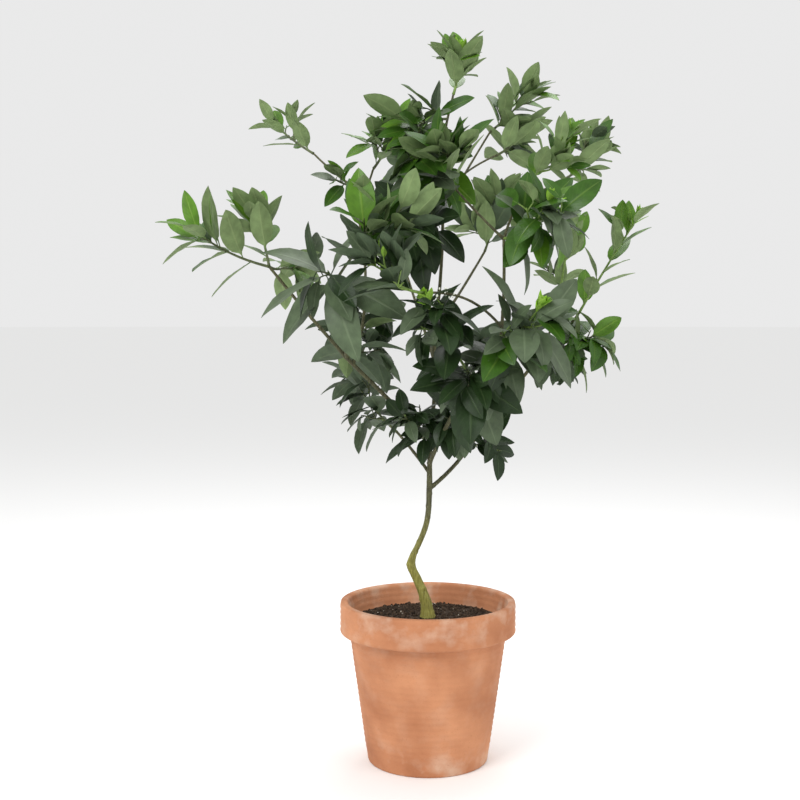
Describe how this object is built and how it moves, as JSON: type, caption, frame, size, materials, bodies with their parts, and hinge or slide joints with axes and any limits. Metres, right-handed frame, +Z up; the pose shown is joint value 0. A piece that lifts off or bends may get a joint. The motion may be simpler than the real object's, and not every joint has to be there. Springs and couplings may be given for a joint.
{
  "type": "potted kumquat tree",
  "caption": "Young kumquat tree in a plain round clay pot: a thin leaning trunk, tapering boughs and an open crown of glossy pointed leaves.",
  "frame": {"origin": "centre of the pot's flat underside", "axes": "+Z up along the pot's axis, +X to the right and -Y towards the viewer of the reference view"},
  "size_m": [0.682, 0.5716, 1.0334],
  "materials": {
    "clay": "matt fired clay",
    "soil": "damp crumbly potting soil",
    "bark": "matt olive bark",
    "leaves": "glossy green leaves"
  },
  "bodies": {
    "root": {"pot": "clay", "soil": "soil", "trunk": "bark", "bough_low_left": "bark", "bough_left_lower": "bark", "bough_left_outer": "bark", "bough_front_left": "bark", "bough_upper_left": "bark", "bough_upper_left_outer": "bark", "bough_upper_left_inner": "bark", "bough_front_right": "bark", "bough_front_right_mid": "bark", "bough_front_right_upper": "bark", "bough_crossing": "bark", "bough_right_top": "bark", "bough_right_shoulder": "bark", "bough_front_spray": "bark", "bough_right_lower": "bark", "bough_right_mid": "bark", "bough_right_outer": "bark", "bough_right_upright": "bark", "bough_top_right": "bark", "bough_top_right_inner": "bark", "bough_back_left": "bark", "bough_back_right": "bark", "mass_low_left": "leaves", "mass_left_tip": "leaves", "mass_left_upright": "leaves", "mass_left_knee": "leaves", "mass_left_fork": "leaves", "mass_front_left_whorl": "leaves", "mass_front_left_tip": "leaves", "mass_upper_left_knee": "leaves", "mass_upper_left_tip": "leaves", "mass_upper_left_inner": "leaves", "mass_crown_top": "leaves", "mass_leader_left": "leaves", "mass_leader_upper": "leaves", "mass_leader_mid": "leaves", "mass_crossing_tip": "leaves", "mass_top_right_tip": "leaves", "mass_top_right_inner": "leaves", "mass_right_top_tip": "leaves", "mass_right_shoulder": "leaves", "mass_right_inner": "leaves", "mass_front_spray_tip": "leaves", "mass_front_whorl": "leaves", "mass_front_flush_left": "leaves", "mass_front_flush_right": "leaves", "mass_right_low": "leaves", "mass_right_spray": "leaves", "mass_right_tip": "leaves", "mass_right_upright": "leaves", "mass_right_upright_tip": "leaves", "mass_low_right": "leaves", "mass_inner_low_left": "leaves", "mass_inner_low_right": "leaves", "mass_back_left": "leaves", "mass_back_right": "leaves", "mass_back_low": "leaves"}
  },
  "joints": []
}
